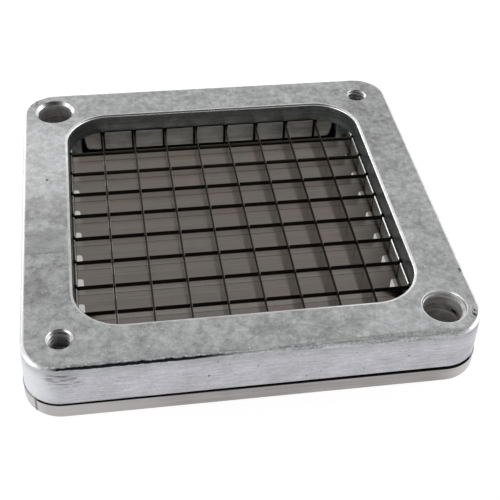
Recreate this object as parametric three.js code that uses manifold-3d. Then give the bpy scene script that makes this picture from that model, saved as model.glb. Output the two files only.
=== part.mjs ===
// Blade cartridge of a lever french fry cutter.
// A thick cast frame and a thinner base plate hold a square grid of blades between them.
// Eight blades run across and eight run front to back. They are half-lapped where they cross,
// their ends sit in four slotted bars, and a rod through each bar pins its blade ends.
// Millimetres, Z up, origin at the middle of the underside, front of the object towards -Y.
import * as THREE from 'three';
import { mergeVertices } from 'three/addons/utils/BufferGeometryUtils.js';
import Module from 'manifold-3d';

const wasm = await Module();
wasm.setup();

// Cutting grid: one cell cuts a 3/8 inch fry.
const cutPitch = 9.525;
const bladesEachWay = 8;

// Blade
const bladeThickness = 0.5;
const bladeHeight = 10.8;
const tangGap = 0.35;
const tangReach = 4.3;
const bellyGap = 1.45;
const notchRadius = 0.7;
const bellyRadius = 0.9;
const tangRadius = 0.5;
const edgeLand = 0.08;
const edgeBevelHeight = 1.0;
const edgeBevelThickness = 0.46;
const grindHeight = 3.1;
const lapClearance = 0.06;

// Slotted bars behind the four sides of the opening
const barWidth = 6.35;
const barEndInset = 3.76;
const barEndTaper = 1.7;
const barEndStraight = 0.9;
const barRebateHeight = 0.6;
const barRebateDepth = 1.6;
const barSlotDepth = 4.6;
const barSlotClearance = 0.07;
const bladeTopSetback = 0.05;

// Rods that pin the blade ends in the bars
const rodDiameter = 2.4;
const rodClearance = 0.2;
const rodInset = 2.3;

// Frame
const frameThickness = 12.25;
const bladeDepth = 5.8;
const ledgeWidth = 0.7;
const frameFootInset = 0.25;
const frameWallLean = 0.25;
const frameEdgeRadius = 1.2;
const frameFootChamfer = 0.15;
const apertureCornerRadius = 12.2;
const apertureChamfer = 0.5;
const pocketClearance = 0.15;
const pocketEndGap = 0.75;

// Seam between the frame and the plate: shut at the two screwed corners, open at the others
const seamShut = 0.25;
const seamOpen = 0.8;

// Base plate
const rimWidth = 13.4375;
const plateThickness = 4.76;
const plateCornerRadius = 9.75;
const plateFootRadius = 1.0;
const plateTopChamfer = 0.15;
const plateOpeningChamfer = 0.4;

// Corner holes: two plain bolt holes and two tapped holes, on opposite diagonals
const holeInset = 9.85;
const boltHoleDiameter = 10;
const boltHoleChamfer = 0.8;
const threadCoreDiameter = 5.1;
const threadMajorDiameter = 6.35;
const threadPitch = 1.27;
const threadGrooveWidth = 1.0;
const tappedHoleChamfer = 0.75;

// Countersunk screws that hold the plate to the frame
const screwHeadDiameter = 11.6;
const screwHeadHeight = 3.35;
const screwLength = 12.7;
const screwCoreDiameter = 4.8;
const screwTipChamfer = 0.6;
const screwClearance = 0.2;
const screwHeadSetback = 0.2;
const driveWidth = 1.3;
const driveLength = 5;
const driveDepth = 1.9;

// One overrun serves every cut that passes a face.
const overrun = 1;

// Facets
const cornerSteps = 5;
const edgeSteps = 4;
const boreSides = 24;
const rodSides = 12;
const threadStepsPerTurn = 10;
const smallArcSteps = 2;

// Corners closer together than this are one corner.
const weldDistance = 1e-5;

// Sizes worked out from the ones above
const openingHalf = (bladesEachWay + 1) * cutPitch / 2;
const apertureHalf = openingHalf + ledgeWidth;
const plateHalf = apertureHalf + rimWidth;
const cornerCentre = plateHalf - plateCornerRadius;
const frameFootHalf = plateHalf - frameFootInset;
const frameTopHalf = frameFootHalf - frameWallLean;
const holeCentre = plateHalf - holeInset;
const plateTop = plateThickness;
const frameBottom = plateTop + seamShut;
const frameTop = frameBottom + frameThickness;
const pocketRoof = frameTop - bladeDepth;
const barTop = pocketRoof;
const bladeTop = barTop - bladeTopSetback;
const barEnd = openingHalf - barEndInset;
const pocketEnd = barEnd + pocketEndGap;
const pocketOuter = openingHalf + barWidth + pocketClearance;
const rodRadius = rodDiameter / 2;
const rodBoreRadius = rodRadius + rodClearance;
const rodOffset = openingHalf + rodInset;
const tangBottom = plateTop + tangGap;
const rodHeight = (bladeTop + tangBottom) / 2;
const lapHeight = bladeTop - bladeHeight / 2;
const lapWidth = bladeThickness + 2 * lapClearance;
const barSlotWidth = bladeThickness + 2 * barSlotClearance;

// Solids

function solidFrom(geometry) {
  const bare = geometry.index ? geometry.toNonIndexed() : geometry.clone();
  bare.deleteAttribute('normal');
  bare.deleteAttribute('uv');
  const merged = mergeVertices(bare, weldDistance);
  return new wasm.Manifold(new wasm.Mesh({
    numProp: 3,
    vertProperties: new Float32Array(merged.attributes.position.array),
    triVerts: new Uint32Array(merged.index.array),
  }));
}

function geometryFrom(solid) {
  const mesh = solid.getMesh();
  const geometry = new THREE.BufferGeometry();
  geometry.setAttribute('position', new THREE.BufferAttribute(new Float32Array(mesh.vertProperties), 3));
  geometry.setIndex(new THREE.BufferAttribute(new Uint32Array(mesh.triVerts), 1));
  const flat = geometry.toNonIndexed();
  flat.computeVertexNormals();
  return flat;
}

// A box given by its lowest and highest corners
function boxBetween(low, high) {
  const geometry = new THREE.BoxGeometry(high[0] - low[0], high[1] - low[1], high[2] - low[2]);
  geometry.translate((low[0] + high[0]) / 2, (low[1] + high[1]) / 2, (low[2] + high[2]) / 2);
  return solidFrom(geometry);
}

// A solid of revolution about a vertical line through x, y; the profile is radius and height
function turned(profile, sides, x, y) {
  const points = profile.map(([radius, height]) => new THREE.Vector2(radius, height));
  const geometry = new THREE.LatheGeometry(points, sides);
  geometry.rotateX(Math.PI / 2);
  geometry.translate(x, y, 0);
  return solidFrom(geometry);
}

// Quarter turns about Z with whole-number terms, so that no rounding creeps in
function quarterTurned(geometry, turns) {
  const cosine = [1, 0, -1, 0][turns];
  const sine = [0, 1, 0, -1][turns];
  const matrix = new THREE.Matrix4();
  matrix.set(cosine, -sine, 0, 0, sine, cosine, 0, 0, 0, 0, 1, 0, 0, 0, 0, 1);
  return geometry.clone().applyMatrix4(matrix);
}

function roundedSquare(half, radius) {
  const middle = half - radius;
  const shape = new THREE.Shape();
  shape.absarc(middle, middle, radius, 0, Math.PI / 2, false);
  shape.absarc(-middle, middle, radius, Math.PI / 2, Math.PI, false);
  shape.absarc(-middle, -middle, radius, Math.PI, 1.5 * Math.PI, false);
  shape.absarc(middle, -middle, radius, 1.5 * Math.PI, 2 * Math.PI, false);
  return shape.extractPoints(cornerSteps).shape;
}

// A block of rounded squares at rising heights; each level has its height, half width and radius
function squareStack(levels) {
  const rings = levels.map(({ half, radius }) => roundedSquare(half, radius));
  const count = rings[0].length;
  const positions = [];
  const corner = (level, k) => {
    const point = rings[level][k % count];
    return [point.x, point.y, levels[level].height];
  };
  for (let level = 0; level + 1 < levels.length; level += 1) {
    for (let k = 0; k < count; k += 1) {
      positions.push(...corner(level, k), ...corner(level, k + 1), ...corner(level + 1, k + 1));
      positions.push(...corner(level, k), ...corner(level + 1, k + 1), ...corner(level + 1, k));
    }
  }
  const last = levels.length - 1;
  for (const [a, b, c] of THREE.ShapeUtils.triangulateShape(rings[0], [])) {
    positions.push(...corner(0, a), ...corner(0, c), ...corner(0, b));
    positions.push(...corner(last, a), ...corner(last, b), ...corner(last, c));
  }
  const geometry = new THREE.BufferGeometry();
  geometry.setAttribute('position', new THREE.Float32BufferAttribute(positions, 3));
  return solidFrom(geometry);
}

// A level of an outer wall; the corners of all outer walls are struck from the same centres
function wallLevel(height, half) {
  return { height, half, radius: half - cornerCentre };
}

// Levels of a rounded edge, from the wall towards the face at the given height
function roundedEdge(half, edge, face, direction) {
  const levels = [];
  for (let step = 0; step <= edgeSteps; step += 1) {
    const angle = (Math.PI / 2) * (step / edgeSteps);
    const inset = edge * (1 - Math.cos(angle));
    levels.push(wallLevel(face - direction * edge * (1 - Math.sin(angle)), half - inset));
  }
  return levels;
}

// The straight opening through a layer, flared at its upper and lower faces
function openingCut(bottom, top, lowerFlare, upperFlare) {
  const level = (height, flare) => ({
    height,
    half: apertureHalf + flare,
    radius: apertureCornerRadius + flare,
  });
  return squareStack([
    level(bottom - overrun, lowerFlare && lowerFlare + overrun),
    level(bottom + lowerFlare, 0),
    level(top - upperFlare, 0),
    level(top + overrun, upperFlare && upperFlare + overrun),
  ]);
}

// A plain bore with a flare at its upper end, its lower end, or both
function boreCut(radius, sides, bottom, top, lowerFlare, upperFlare, x, y) {
  const lowEnd = lowerFlare && lowerFlare + overrun;
  const highEnd = upperFlare && upperFlare + overrun;
  return turned([
    [0, bottom - overrun],
    [radius + lowEnd, bottom - overrun],
    [radius, bottom + lowerFlare],
    [radius, top - upperFlare],
    [radius + highEnd, top + overrun],
    [0, top + overrun],
  ], sides, x, y);
}

// A screw thread's groove: a pointed section carried round a helix
function threadGroove(x, y) {
  const inner = (threadCoreDiameter - threadGrooveWidth / 2) / 2;
  const outer = threadMajorDiameter / 2;
  const bottom = frameBottom - threadPitch;
  const turns = Math.ceil((frameThickness + 2 * threadPitch) / threadPitch);
  const steps = turns * threadStepsPerTurn;
  const halfMouth = threadGrooveWidth / 2;
  const section = (step) => {
    const angle = (2 * Math.PI * step) / threadStepsPerTurn;
    const height = bottom + (threadPitch * step) / threadStepsPerTurn;
    const at = (radius, rise) => [x + radius * Math.cos(angle), y + radius * Math.sin(angle), height + rise];
    return [at(inner, -halfMouth), at(outer, 0), at(inner, halfMouth)];
  };
  const positions = [];
  for (let step = 0; step < steps; step += 1) {
    const near = section(step);
    const far = section(step + 1);
    for (let side = 0; side < near.length; side += 1) {
      const next = (side + 1) % near.length;
      positions.push(...near[side], ...far[side], ...far[next]);
      positions.push(...near[side], ...far[next], ...near[next]);
    }
  }
  const [first, last] = [section(0), section(steps)];
  positions.push(...first[0], ...first[1], ...first[2]);
  positions.push(...last[0], ...last[2], ...last[1]);
  const geometry = new THREE.BufferGeometry();
  geometry.setAttribute('position', new THREE.Float32BufferAttribute(positions, 3));
  return solidFrom(geometry);
}

// The frame's underside rises from the diagonal of the screws towards an open corner.
function seamRelief(side) {
  const reach = plateHalf + overrun;
  const rise = (seamOpen - seamShut) * (reach / plateHalf);
  const corners = [
    [-reach, -reach, frameBottom],
    [reach, reach, frameBottom],
    [side * reach, -side * reach, frameBottom],
    [-reach, -reach, frameBottom - overrun],
    [reach, reach, frameBottom - overrun],
    [side * reach, -side * reach, frameBottom - overrun],
    [side * reach, -side * reach, frameBottom + rise],
  ];
  const faces = [[0, 1, 6], [0, 6, 5], [0, 5, 3], [1, 5, 6], [1, 4, 5], [3, 5, 4], [0, 3, 4], [0, 4, 1]];
  const positions = [];
  for (const [a, b, c] of faces) {
    const order = side > 0 ? [a, c, b] : [a, b, c];
    for (const k of order) positions.push(...corners[k]);
  }
  const geometry = new THREE.BufferGeometry();
  geometry.setAttribute('position', new THREE.Float32BufferAttribute(positions, 3));
  return solidFrom(geometry);
}

// Pieces

function makeFrame() {
  let frame = squareStack([
    wallLevel(frameBottom, frameFootHalf - frameFootChamfer),
    wallLevel(frameBottom + frameFootChamfer, frameFootHalf),
    ...roundedEdge(frameTopHalf, frameEdgeRadius, frameTop, 1),
  ]);
  frame = frame.subtract(openingCut(frameBottom, frameTop, 0, apertureChamfer));
  for (let turns = 0; turns < 4; turns += 1) {
    const pocket = new THREE.BoxGeometry(
      2 * pocketEnd,
      pocketOuter - openingHalf + barWidth,
      pocketRoof - frameBottom + overrun,
    );
    const middleY = (pocketOuter + openingHalf - barWidth) / 2;
    pocket.translate(0, middleY, (pocketRoof + frameBottom - overrun) / 2);
    frame = frame.subtract(solidFrom(quarterTurned(pocket, turns)));
  }
  for (const side of [-1, 1]) {
    const boltX = side * holeCentre;
    frame = frame.subtract(boreCut(
      boltHoleDiameter / 2, boreSides, frameBottom, frameTop, 0, boltHoleChamfer, boltX, -boltX,
    ));
    frame = frame.subtract(boreCut(
      threadCoreDiameter / 2, 2 * threadStepsPerTurn, frameBottom, frameTop, 0, tappedHoleChamfer,
      boltX, boltX,
    ));
    frame = frame.subtract(threadGroove(boltX, boltX));
    frame = frame.subtract(seamRelief(side));
  }
  return frame;
}

function makePlate() {
  let plate = squareStack([
    ...roundedEdge(plateHalf, plateFootRadius, 0, -1).reverse(),
    wallLevel(plateTop - plateTopChamfer, plateHalf),
    wallLevel(plateTop, plateHalf - plateTopChamfer),
  ]);
  plate = plate.subtract(openingCut(0, plateTop, plateOpeningChamfer, 0));
  for (const side of [-1, 1]) {
    const x = side * holeCentre;
    plate = plate.subtract(boreCut(
      boltHoleDiameter / 2, boreSides, 0, plateTop, boltHoleChamfer, 0, x, -x,
    ));
    const seat = screwClearance + screwHeadSetback;
    plate = plate.subtract(turned([
      [0, -overrun],
      [screwHeadDiameter / 2 + screwClearance + seat, -overrun],
      [screwHeadDiameter / 2 + screwClearance + seat, 0],
      [screwCoreDiameter / 2 + screwClearance, screwHeadHeight + screwClearance + seat],
      [screwCoreDiameter / 2 + screwClearance, plateTop + overrun],
      [0, plateTop + overrun],
    ], boreSides, x, x));
  }
  return plate;
}

// A slotted bar at the back of the opening; the others are quarter turns of it
function makeBar() {
  const outline = new THREE.Shape();
  const curveTop = barTop - barEndStraight;
  const rise = curveTop - plateTop;
  outline.moveTo(-barEnd, barTop);
  outline.lineTo(-barEnd, curveTop);
  outline.absellipse(-barEnd + barEndTaper, curveTop, barEndTaper, rise, Math.PI, 1.5 * Math.PI, false);
  outline.absellipse(barEnd - barEndTaper, curveTop, barEndTaper, rise, 1.5 * Math.PI, 2 * Math.PI, false);
  outline.lineTo(barEnd, barTop);
  const body = new THREE.ExtrudeGeometry(outline, {
    depth: barWidth, bevelEnabled: false, curveSegments: 2 * smallArcSteps,
  });
  body.rotateX(Math.PI / 2);
  body.translate(0, openingHalf + barWidth, 0);
  let bar = solidFrom(body);
  bar = bar.subtract(boxBetween(
    [-barEnd - overrun, openingHalf - overrun, plateTop - overrun],
    [barEnd + overrun, openingHalf + barRebateDepth, plateTop + barRebateHeight],
  ));
  for (const place of bladePlaces()) {
    bar = bar.subtract(boxBetween(
      [place - barSlotWidth / 2, openingHalf - overrun, plateTop - overrun],
      [place + barSlotWidth / 2, openingHalf + barSlotDepth, barTop + overrun],
    ));
  }
  return bar.subtract(rodAlong(rodBoreRadius, barEnd + overrun));
}

// A straight round bar along X behind the back of the opening
function rodAlong(radius, halfLength) {
  const geometry = new THREE.CylinderGeometry(radius, radius, 2 * halfLength, rodSides);
  geometry.rotateZ(Math.PI / 2);
  geometry.translate(0, rodOffset, rodHeight);
  return solidFrom(geometry);
}

function bladePlaces() {
  const places = [];
  for (let k = 0; k < bladesEachWay; k += 1) {
    places.push((k - (bladesEachWay - 1) / 2) * cutPitch);
  }
  return places;
}

// The side view of a blade: ends that fit the bars, and a deeper belly between them
function bladeOutline() {
  const bellyEnd = openingHalf - bellyGap;
  const tangEnd = openingHalf + tangReach;
  const bellyBottom = bladeTop - bladeHeight;
  const half = new THREE.Path();
  half.moveTo(0, bellyBottom);
  half.absarc(bellyEnd - bellyRadius, bellyBottom + bellyRadius, bellyRadius, -Math.PI / 2, 0, false);
  half.absarc(bellyEnd + notchRadius, tangBottom - notchRadius, notchRadius, Math.PI, Math.PI / 2, true);
  half.absarc(tangEnd - tangRadius, tangBottom + tangRadius, tangRadius, -Math.PI / 2, 0, false);
  half.lineTo(tangEnd, bladeTop);
  const right = half.getPoints(smallArcSteps).slice(1);
  const left = right.map((point) => new THREE.Vector2(-point.x, point.y)).reverse();
  const outline = new THREE.Shape([...right, ...left]);
  for (const side of [-1, 1]) {
    const hole = new THREE.Path();
    hole.absarc(side * rodOffset, rodHeight, rodBoreRadius, 0, 2 * Math.PI, true);
    outline.holes.push(hole);
  }
  return outline;
}

// A blade across the opening, along X at y = 0. Its upper edge is ground on both faces.
function makeBlade(slotsFromTop) {
  const side = new THREE.ExtrudeGeometry(bladeOutline(), {
    depth: bladeThickness, bevelEnabled: false, curveSegments: rodSides / 2,
  });
  side.rotateX(Math.PI / 2);
  side.translate(0, bladeThickness / 2, 0);
  const ground = new THREE.Shape();
  const halfBody = bladeThickness / 2;
  ground.moveTo(-halfBody - overrun, bladeTop - bladeHeight - overrun);
  ground.lineTo(halfBody + overrun, bladeTop - bladeHeight - overrun);
  ground.lineTo(halfBody + overrun, bladeTop - grindHeight);
  ground.lineTo(halfBody, bladeTop - grindHeight);
  ground.lineTo(edgeBevelThickness / 2, bladeTop - edgeBevelHeight);
  ground.lineTo(edgeLand / 2, bladeTop);
  ground.lineTo(-edgeLand / 2, bladeTop);
  ground.lineTo(-edgeBevelThickness / 2, bladeTop - edgeBevelHeight);
  ground.lineTo(-halfBody, bladeTop - grindHeight);
  ground.lineTo(-halfBody - overrun, bladeTop - grindHeight);
  const reach = openingHalf + tangReach + overrun;
  const section = new THREE.ExtrudeGeometry(ground, { depth: 2 * reach, bevelEnabled: false });
  section.rotateX(Math.PI / 2);
  section.rotateZ(Math.PI / 2);
  section.translate(-reach, 0, 0);
  let blade = solidFrom(side).intersect(solidFrom(section));
  const low = slotsFromTop ? lapHeight - lapClearance : bladeTop - bladeHeight - overrun;
  const high = slotsFromTop ? bladeTop + overrun : lapHeight + lapClearance;
  for (const place of bladePlaces()) {
    blade = blade.subtract(boxBetween(
      [place - lapWidth / 2, -bladeThickness, low],
      [place + lapWidth / 2, bladeThickness, high],
    ));
  }
  return blade;
}

function makeScrew(place) {
  const head = screwHeadDiameter / 2;
  const core = screwCoreDiameter / 2;
  const face = screwHeadSetback;
  const tip = face + screwLength;
  const shank = turned([
    [0, face],
    [head, face],
    [core, face + screwHeadHeight],
    [core, tip - screwTipChamfer],
    [core - screwTipChamfer, tip],
    [0, tip],
  ], boreSides, place, place);
  const half = driveLength / 2;
  const thin = driveWidth / 2;
  const across = boxBetween(
    [place - half, place - thin, face - overrun],
    [place + half, place + thin, face + driveDepth],
  );
  const along = boxBetween(
    [place - thin, place - half, face - overrun],
    [place + thin, place + half, face + driveDepth],
  );
  return shank.subtract(across.add(along));
}

// Assembly

const castGrey = { color: 0xa9a9a8, roughness: 0.55, metalness: 0.85 };
const plateSilver = { color: 0xc4bfb8, roughness: 0.4, metalness: 0.9 };
const bladeSteel = { color: 0x8f8a85, roughness: 0.25, metalness: 1 };
const barGrey = { color: 0x7c7f78, roughness: 0.45, metalness: 0.9 };
const screwSteel = { color: 0xb0b0ae, roughness: 0.35, metalness: 1 };

const cartridge = new THREE.Group();

function addPiece(name, geometry, finish) {
  const mesh = new THREE.Mesh(geometry, new THREE.MeshStandardMaterial(finish));
  mesh.name = name;
  cartridge.add(mesh);
  return mesh;
}

addPiece('top_frame', geometryFrom(makeFrame()), castGrey);
addPiece('base_plate', geometryFrom(makePlate()), plateSilver);

const sideNames = ['back', 'left', 'front', 'right'];
const barGeometry = geometryFrom(makeBar());
const rodGeometry = geometryFrom(rodAlong(rodRadius, barEnd));
for (let turns = 0; turns < sideNames.length; turns += 1) {
  addPiece(`slotted_bar_${sideNames[turns]}`, quarterTurned(barGeometry, turns), barGrey);
  addPiece(`blade_rod_${sideNames[turns]}`, quarterTurned(rodGeometry, turns), screwSteel);
}

const crossGeometry = geometryFrom(makeBlade(true));
const longGeometry = quarterTurned(geometryFrom(makeBlade(false)), 1);
bladePlaces().forEach((place, k) => {
  addPiece(`cross_blade_${k + 1}`, crossGeometry.clone(), bladeSteel).position.set(0, place, 0);
  addPiece(`long_blade_${k + 1}`, longGeometry.clone(), bladeSteel).position.set(place, 0, 0);
});

addPiece('plate_screw_front_left', geometryFrom(makeScrew(-holeCentre)), screwSteel);
addPiece('plate_screw_back_right', geometryFrom(makeScrew(holeCentre)), screwSteel);

export default cartridge;
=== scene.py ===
# Blade cartridge of a french fry cutter, dressed for a studio photograph.
import math

import bmesh
import bpy
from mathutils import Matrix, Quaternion, Vector


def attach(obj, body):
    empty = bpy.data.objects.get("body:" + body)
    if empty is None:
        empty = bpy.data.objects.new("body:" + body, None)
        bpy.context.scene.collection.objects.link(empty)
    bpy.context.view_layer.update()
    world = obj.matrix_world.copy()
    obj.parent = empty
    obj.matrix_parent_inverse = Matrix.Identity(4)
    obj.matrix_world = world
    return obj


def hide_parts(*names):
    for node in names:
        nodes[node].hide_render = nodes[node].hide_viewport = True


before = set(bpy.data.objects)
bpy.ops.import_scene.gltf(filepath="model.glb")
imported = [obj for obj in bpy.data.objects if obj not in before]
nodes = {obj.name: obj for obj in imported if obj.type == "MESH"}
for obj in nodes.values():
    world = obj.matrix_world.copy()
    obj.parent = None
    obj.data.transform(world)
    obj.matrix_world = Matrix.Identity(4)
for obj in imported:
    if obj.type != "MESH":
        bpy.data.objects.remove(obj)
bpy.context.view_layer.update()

# Sizes and places are in millimetres, and MM turns them into Blender's metres
MM = 0.001

# Driving sizes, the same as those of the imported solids
CELL = 9.525
CELLS_EACH_WAY = 9
LEDGE = 0.7
RIM = 13.4375
PLATE_CORNER = 9.75
PLATE_TOP = 4.76
PLATE_FOOT = 1.0
PLATE_CHAMFER = 0.4
SEAM_SHUT = 0.25
SEAM_OPEN = 0.8
FRAME_THICKNESS = 12.25
FRAME_FOOT_INSET = 0.25
FRAME_WALL_LEAN = 0.25
FRAME_EDGE = 1.2
OPENING_CORNER = 12.2
BLADE_DEPTH = 5.8
BLADE_SETBACK = 0.05
EDGE_BEVEL = 1.0
GRIND_HEIGHT = 3.1
BAR_WIDTH = 6.35
BAR_END_INSET = 3.76
BAR_REBATE = 0.6
POCKET_CLEARANCE = 0.15
POCKET_END_GAP = 0.75

# The corner holes: two plain ones for bolts and two tapped ones for screws from below
HOLE_INSET = 9.85
BOLT_RADIUS = 5.0
BOLT_CHAMFER = 0.8
THREAD_CORE = 2.55
THREAD_MAJOR = 3.175
THREAD_PITCH = 1.27
THREAD_ROOT = 0.09
THREAD_MOUTH = 0.56
THREAD_OVERLAP = 0.25
THREAD_SPARE_TURNS = 2
TAPPED_CHAMFER = 0.75
BACK_TAPPED_CHAMFER = 0.45
SCREW_SEAT = 6.2
SCREW_BORE = 2.6
SCREW_DEPTH = 3.75

# Sizes worked out from those above
GRID_HALF = CELLS_EACH_WAY * CELL / 2
OPENING_HALF = GRID_HALF + LEDGE
PLATE_HALF = OPENING_HALF + RIM
CORNER_CENTRE = PLATE_HALF - PLATE_CORNER
HOLE_CENTRE = PLATE_HALF - HOLE_INSET
FOOT_HALF = PLATE_HALF - FRAME_FOOT_INSET
TOP_HALF = FOOT_HALF - FRAME_WALL_LEAN
FRAME_BOTTOM = PLATE_TOP + SEAM_SHUT
FRAME_TOP = FRAME_BOTTOM + FRAME_THICKNESS
SEAM_RISE = SEAM_OPEN - SEAM_SHUT
POCKET_ROOF = FRAME_TOP - BLADE_DEPTH
POCKET_END = GRID_HALF - BAR_END_INSET + POCKET_END_GAP
POCKET_OUTER = GRID_HALF + BAR_WIDTH + POCKET_CLEARANCE
BLADE_TOP = POCKET_ROOF - BLADE_SETBACK
GRIND_LINE = BLADE_TOP - GRIND_HEIGHT
BEVEL_LINE = BLADE_TOP - EDGE_BEVEL

# How far cutters run past what they cut, and how far the pocket cutters start inside the opening
OVERRUN = 1
POCKET_OVERRUN = 6

# Wear that only the photograph shows: the opening's rolled rim as steps out and down from its wall,
# and the radius of the frame's top edge at places along the front
OPENING_FLARE = ((1.35, 0.0), (0.85, 0.04), (0.46, 0.11), (0.25, 0.21), (0.1, 0.38), (0.0, 0.65))
FRONT_EDGE = (
    (-60, 1.3), (-54, 1.3), (-48, 0.95), (-38, 1.3), (-25, 1.2), (-8, 0.9),
    (0, 0.85), (15, 1.5), (38, 2.1), (46, 1.9), (53, 1.05), (60, 1.0),
)
FRONT_EDGE_FADE = (-30, -50)

# Mouths of the two plain holes: how far out from the bore and how far down, from the bottom up.
# The front right one was cut a little off its middle.
PLAIN_MOUTH = ((-0.5, 1.3), (1.8, -1))
STEPPED_MOUTH = ((-0.35, 1.3), (0.42, 0.95), (0.5, 0.3), (0.62, 0.1), (0.85, 0), (0.85, -1))
STEPPED_MOUTH_SHIFT = 0.3

# How finely round stretches are divided
CORNER_STEPS = 20
EDGE_STEPS = 8
SIDE_PIECES = 16
BOLT_SIDES = 64
TAPPED_SIDES = 48
THREAD_STEPS = 32

# Angles in degrees past which an edge stays sharp, and past which a bar's edge gets its rim
SHARP_ANGLE = 32
RIM_ANGLE = 40

# How wide a bar's rim is, and how near its corners must lie to be joined first
BAR_RIM = 0.33
WELD_DISTANCE = 0.001

# Camera solved from the photograph
CAMERA_PLACE = (-33.62, -212.15, 193.41)
CAMERA_VIEW = (0.13735, 0.72789, -0.67180)
CAMERA_ROLL = 2.834
CAMERA_LENS = 72.216
CAMERA_FILM = 36
CAMERA_CLIP = (10, 20000)


# Meshes

def mesh_object(name, vertices, faces):
    mesh = bpy.data.meshes.new(name)
    mesh.from_pydata([tuple(c * MM for c in v) for v in vertices], [], faces)
    mesh.validate()
    mesh.update()
    piece = bpy.data.objects.new(name, mesh)
    bpy.context.scene.collection.objects.link(piece)
    return piece


def square_ring(half, radius, height, steps):
    """Points of a rounded square, anticlockwise from the +X side."""
    middle = half - radius
    points = []
    for quarter, (sx, sy) in enumerate(((1, 1), (-1, 1), (-1, -1), (1, -1))):
        for step in range(steps + 1):
            angle = math.pi / 2 * (quarter + step / steps)
            x = sx * middle + radius * math.cos(angle)
            y = sy * middle + radius * math.sin(angle)
            points.append((x, y, height))
    return points


def long_ring(half, radius, height, steps, pieces):
    """A rounded square whose straight sides are also divided, so that they can change along their length."""
    ring = square_ring(half, radius, height, steps)
    points = []
    for k, point in enumerate(ring):
        points.append(point)
        if k % (steps + 1) == steps:
            far = ring[(k + 1) % len(ring)]
            for piece in range(1, pieces):
                share = piece / pieces
                points.append(tuple(a + (b - a) * share for a, b in zip(point, far)))
    return points


def circle_ring(radius, height, x, y, sides):
    turn = 2 * math.pi / sides
    return [(x + radius * math.cos(k * turn), y + radius * math.sin(k * turn), height) for k in range(sides)]


def rolled_edge(half, edge, face, direction, steps, bend, pieces):
    """Rings of a rounded edge between an outer wall and a face; edge gives the radius at a place."""
    wall = long_ring(half, half - CORNER_CENTRE, face, steps, pieces)
    one_in = long_ring(half - 1, half - 1 - CORNER_CENTRE, face, steps, pieces)
    rings = []
    for step in range(bend + 1):
        angle = math.pi / 2 * step / bend
        ring = []
        for (x, y, z), (in_x, in_y, in_z) in zip(wall, one_in):
            radius = edge(x, y)
            inset = radius * (1 - math.cos(angle))
            height = face - direction * radius * (1 - math.sin(angle))
            ring.append((x + (in_x - x) * inset, y + (in_y - y) * inset, height))
        rings.append(ring)
    return rings


def loft(rings, closed):
    """Faces between rings of equal length; closed joins the last ring to the first, else both get a cap."""
    count = len(rings[0])
    vertices = [p for ring in rings for p in ring]
    faces = []
    spans = len(rings) if closed else len(rings) - 1
    for level in range(spans):
        low = level * count
        high = (level + 1) % len(rings) * count
        for k in range(count):
            nxt = (k + 1) % count
            faces.append((low + k, low + nxt, high + nxt, high + k))
    if not closed:
        faces.append(tuple(reversed(range(count))))
        faces.append(tuple(range((len(rings) - 1) * count, len(rings) * count)))
    return vertices, faces


# Cutters, and the cut itself

def cut(piece, cutters):
    """Takes the cutters away from the piece and leaves a plain mesh."""
    for cutter in cutters:
        step = piece.modifiers.new("cut", "BOOLEAN")
        step.operation = "DIFFERENCE"
        step.solver = "EXACT"
        step.object = cutter
    bpy.context.view_layer.update()
    shown = piece.evaluated_get(bpy.context.evaluated_depsgraph_get())
    mesh = bpy.data.meshes.new_from_object(shown)
    piece.modifiers.clear()
    old = piece.data
    piece.data = mesh
    bpy.data.meshes.remove(old)
    for cutter in cutters:
        bpy.data.objects.remove(cutter)


def box_cutter(low, high):
    rings = [
        [(low[0], low[1], z), (high[0], low[1], z), (high[0], high[1], z), (low[0], high[1], z)]
        for z in (low[2], high[2])
    ]
    return mesh_object("cutter", *loft(rings, False))


def turned_cutter(profile, x, y, sides):
    return mesh_object("cutter", *loft([circle_ring(r, z, x, y, sides) for r, z in profile], False))


def thread_cutter(x, y):
    """A pointed groove carried up a helix; it runs out past both faces."""
    low = FRAME_BOTTOM - THREAD_PITCH
    turns = math.ceil((FRAME_TOP - FRAME_BOTTOM) / THREAD_PITCH) + THREAD_SPARE_TURNS
    inner = THREAD_CORE - THREAD_OVERLAP
    groove = (
        (inner, -THREAD_MOUTH), (THREAD_MAJOR, -THREAD_ROOT),
        (THREAD_MAJOR, THREAD_ROOT), (inner, THREAD_MOUTH),
    )
    vertices = []
    faces = []
    total = turns * THREAD_STEPS
    for k in range(total + 1):
        angle = 2 * math.pi * k / THREAD_STEPS
        height = low + THREAD_PITCH * k / THREAD_STEPS
        for radius, rise in groove:
            vertices.append((x + radius * math.cos(angle), y + radius * math.sin(angle), height + rise))
    for k in range(total):
        for side in range(4):
            nxt = (side + 1) % 4
            faces.append((4 * k + side, 4 * k + 4 + side, 4 * k + 4 + nxt, 4 * k + nxt))
    faces.append((0, 1, 2, 3))
    faces.append((4 * total + 3, 4 * total + 2, 4 * total + 1, 4 * total))
    return mesh_object("cutter", vertices, faces)


# The cast frame

def seam_height(x, y):
    """The frame's underside, which rises from the screwed diagonal to the two plain corners."""
    return FRAME_BOTTOM + SEAM_RISE * abs(x - y) / (2 * PLATE_HALF)


def frame_edge(x, y):
    """Radius of the top edge: even at the back, and unevenly rolled along the front."""
    if y > 0:
        return FRAME_EDGE
    radius = FRONT_EDGE[0][1]
    for low, high in zip(FRONT_EDGE, FRONT_EDGE[1:]):
        if low[0] <= x <= high[0]:
            share = (x - low[0]) / (high[0] - low[0])
            radius = low[1] + (high[1] - low[1]) * share
    start, end = FRONT_EDGE_FADE
    front = max(0.0, min(1.0, (start - y) / (start - end)))
    return FRAME_EDGE + (radius - FRAME_EDGE) * front


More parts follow.
